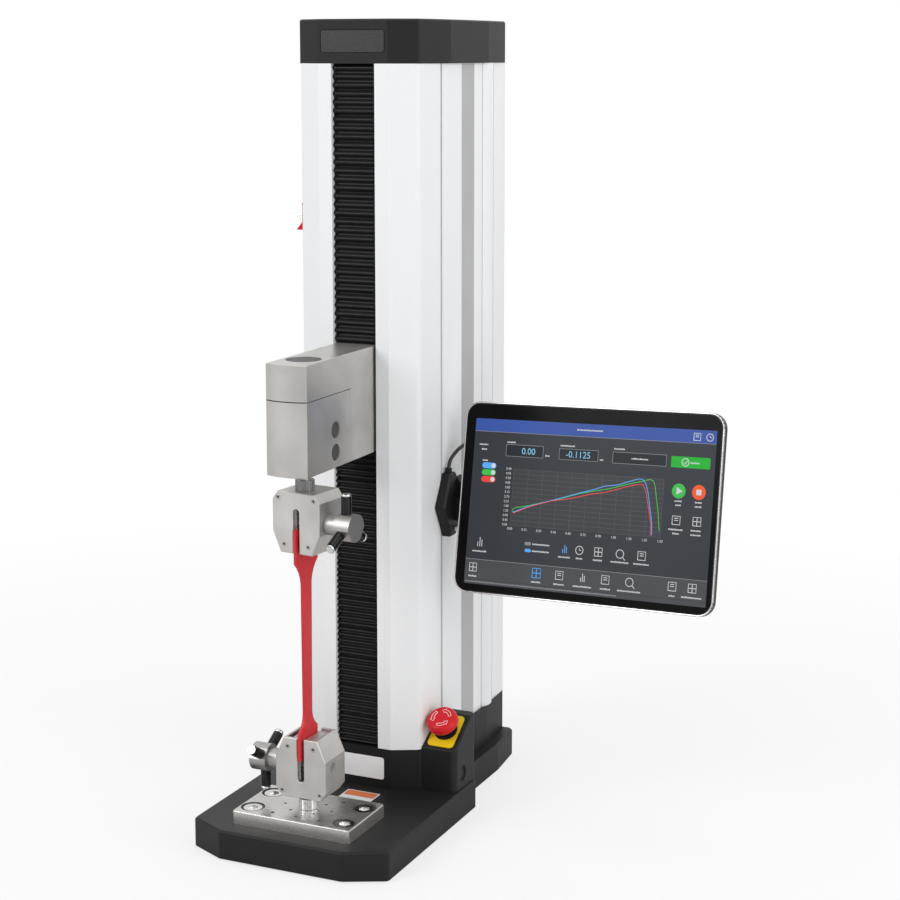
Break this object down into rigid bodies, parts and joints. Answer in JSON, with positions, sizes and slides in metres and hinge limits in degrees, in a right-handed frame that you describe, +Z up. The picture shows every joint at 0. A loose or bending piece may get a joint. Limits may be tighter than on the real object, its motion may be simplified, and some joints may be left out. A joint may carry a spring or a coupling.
{
  "type": "universal testing machine",
  "caption": "Benchtop materials testing machine: crosshead with load cell on a column with pleated covers, vice grips on a dumb-bell strip, stop button and tablet panel.",
  "frame": {"origin": "on the bench under the middle of the base's footprint", "axes": "+Z up the column, -Y the front with the grips, +X the side with the stop button and tablet"},
  "size_m": [0.4756, 0.3905, 0.7981],
  "materials": {
    "black_coat": "textured powder coat",
    "white_coat": "smooth powder coat",
    "grip_steel": "brushed",
    "bright_steel": "bright",
    "dark_steel": "blackened",
    "arm_alloy": "brushed",
    "alloy": "satin",
    "black_plastic": "matt",
    "red_plastic": "gloss",
    "yellow_plastic": "satin",
    "red_rubber": "smooth",
    "black_rubber": "matt",
    "bellows_fabric": "coated fabric",
    "screen_glass": "gloss",
    "board_green": "satin"
  },
  "bodies": {
    "machine": {"base_casting": "black_coat", "rubber_pads": "black_rubber", "column": "white_coat", "top_cap": "black_coat", "foot_housing": "black_coat", "power_inlet": "black_plastic", "stop_pod": "black_coat", "pod_plug": "black_plastic", "stop_legend_plate": "yellow_plastic", "stop_switch_body": "black_plastic", "guide_rails": "grip_steel", "column_spine": "alloy", "screw_bearings": "alloy", "drive_frame": "dark_steel", "timing_belt": "black_rubber", "drive_motor": "dark_steel", "control_board": "board_green", "work_plate": "grip_steel", "work_plate_bolts": "bright_steel", "lower_stud": "bright_steel", "lower_grip_body": "grip_steel", "lower_grip_plates": "grip_steel", "specimen": "red_rubber", "bellows_lower": "bellows_fabric", "bellows_upper": "bellows_fabric"},
    "power_switch": {"power_switch": "black_plastic"},
    "stop_stem": {"stop_stem": "dark_steel"},
    "stop_head": {"stop_head": "red_plastic"},
    "lower_lock_nut": {"lower_lock_nut": "grip_steel"},
    "lower_spindle": {"lower_clamp_spindle": "bright_steel", "lower_clamp_rods": "dark_steel"},
    "lower_jaw_hub_side": {"lower_jaw_hub_side": "grip_steel"},
    "lower_jaw_far_side": {"lower_jaw_far_side": "grip_steel"},
    "crosshead": {"crosshead_arm": "arm_alloy", "load_cell": "arm_alloy", "arm_plugs": "black_plastic", "carriage": "alloy", "carriage_blocks": "grip_steel", "screw_nut": "bright_steel", "upper_grip_body": "grip_steel", "upper_grip_plates": "grip_steel"},
    "upper_lock_nut": {"upper_lock_nut": "grip_steel"},
    "upper_spindle": {"upper_clamp_spindle": "bright_steel", "upper_clamp_rods": "dark_steel"},
    "upper_jaw_hub_side": {"upper_jaw_hub_side": "grip_steel"},
    "upper_jaw_far_side": {"upper_jaw_far_side": "grip_steel"},
    "lead_screw": {"lead_screw": "bright_steel", "screw_pulley": "alloy"},
    "motor_pulley": {"motor_pulley": "alloy"},
    "limit_stop": {"limit_stop": "red_plastic"},
    "limit_stop_screw": {"limit_stop_screw": "bright_steel"},
    "bracket": {"bracket_base": "black_coat", "tablet_lead": "black_rubber"},
    "bracket_thumbscrew": {"bracket_thumbscrew": "bright_steel"},
    "tablet_arm": {"bracket_arm": "black_coat", "tablet_knuckle": "black_coat", "hinge_pins": "bright_steel"},
    "tablet": {"tablet_cradle": "black_coat", "tablet_housing": "alloy", "tablet_glass": "screen_glass"}
  },
  "joints": [
    {"name": "crosshead_slide", "type": "slide", "parent": "machine", "child": "crosshead", "axis": [0, 0, 1], "range_m": [-0.17, 0.21], "deforming": ["bellows_lower", "bellows_upper", "specimen"]},
    {"name": "screw_turn", "type": "hinge", "parent": "machine", "child": "lead_screw", "pos_m": [0, 0.0271, 0.4], "axis": [0, 0, 1], "range_deg": [-7600, 6200]},
    {"name": "motor_turn", "type": "hinge", "parent": "machine", "child": "motor_pulley", "pos_m": [0, 0.1071, 0.06], "axis": [0, 0, 1], "range_deg": [-11400, 9250]},
    {"name": "stop_push", "type": "slide", "parent": "machine", "child": "stop_stem", "axis": [0, -0.5547, 0.8321], "range_m": [-0.004, 0], "stiffness_N_per_m": 1200},
    {"name": "stop_release_twist", "type": "hinge", "parent": "stop_stem", "child": "stop_head", "pos_m": [0.0835, 0.0045, 0.087], "axis": [0, -0.5547, 0.8321], "range_deg": [0, 40], "stiffness_Nm_per_rad": 0.06},
    {"name": "power_switch_rock", "type": "hinge", "parent": "machine", "child": "power_switch", "pos_m": [0.016, 0.1921, 0.051], "axis": [1, 0, 0], "range_deg": [-16, 0]},
    {"name": "lower_lock_nut_turn", "type": "hinge", "parent": "machine", "child": "lower_lock_nut", "pos_m": [0, -0.1342, 0.048], "axis": [0, 0, 1], "range_deg": [-180, 180]},
    {"name": "upper_lock_nut_turn", "type": "hinge", "parent": "crosshead", "child": "upper_lock_nut", "pos_m": [0, -0.1342, 0.362], "axis": [0, 0, 1], "range_deg": [-180, 180]},
    {"name": "limit_stop_slide", "type": "slide", "parent": "machine", "child": "limit_stop", "axis": [0, 0, 1], "range_m": [-0.48, 0.135]},
    {"name": "limit_stop_screw_turn", "type": "hinge", "parent": "limit_stop", "child": "limit_stop_screw", "pos_m": [-0.084, 0.027, 0.605], "axis": [-1, 0, 0], "range_deg": [0, 360]},
    {"name": "bracket_slide", "type": "slide", "parent": "machine", "child": "bracket", "axis": [0, 0, 1], "range_m": [-0.1, 0.37]},
    {"name": "bracket_thumbscrew_turn", "type": "hinge", "parent": "bracket", "child": "bracket_thumbscrew", "pos_m": [0.079, 0.0345, 0.291], "axis": [1, 0, 0], "range_deg": [0, 360]},
    {"name": "tablet_swivel", "type": "hinge", "parent": "bracket", "child": "tablet_arm", "pos_m": [0.1045, 0.048, 0.31009], "axis": [0, 0, 1], "range_deg": [-12, 60]},
    {"name": "tablet_tilt", "type": "hinge", "parent": "tablet_arm", "child": "tablet", "pos_m": [0.23187, 0.02881, 0.31009], "axis": [0.9914, -0.1305, 0], "range_deg": [-15, 20]},
    {"name": "lower_jaw_hub_side_slide", "type": "slide", "parent": "machine", "child": "lower_jaw_hub_side", "axis": [-1, 0, 0], "range_m": [0, 0.003]},
    {"name": "lower_jaw_far_side_slide", "type": "slide", "parent": "machine", "child": "lower_jaw_far_side", "axis": [1, 0, 0], "range_m": [0, 0.003]},
    {"name": "lower_clamp_turn", "type": "hinge", "parent": "machine", "child": "lower_spindle", "pos_m": [0, -0.1342, 0.087], "axis": [-1, 0, 0], "range_deg": [0, 720]},
    {"name": "upper_jaw_hub_side_slide", "type": "slide", "parent": "crosshead", "child": "upper_jaw_hub_side", "axis": [0.9925, -0.1219, 0], "range_m": [0, 0.003]},
    {"name": "upper_jaw_far_side_slide", "type": "slide", "parent": "crosshead", "child": "upper_jaw_far_side", "axis": [-0.9925, 0.1219, 0], "range_m": [0, 0.003]},
    {"name": "upper_clamp_turn", "type": "hinge", "parent": "crosshead", "child": "upper_spindle", "pos_m": [0, -0.1342, 0.327], "axis": [0.9925, -0.1219, 0], "range_deg": [0, 720]}
  ],
  "couplings": [
    {"joint": "screw_turn", "follows": "crosshead_slide", "rad_per_m": -628.32},
    {"joint": "motor_turn", "follows": "crosshead_slide", "rad_per_m": -942.48},
    {"joint": "lower_clamp_turn", "follows": "lower_jaw_hub_side_slide", "rad_per_m": 4188.8},
    {"joint": "lower_jaw_far_side_slide", "follows": "lower_jaw_hub_side_slide", "ratio": 1},
    {"joint": "upper_clamp_turn", "follows": "upper_jaw_hub_side_slide", "rad_per_m": 4188.8},
    {"joint": "upper_jaw_far_side_slide", "follows": "upper_jaw_hub_side_slide", "ratio": 1}
  ]
}
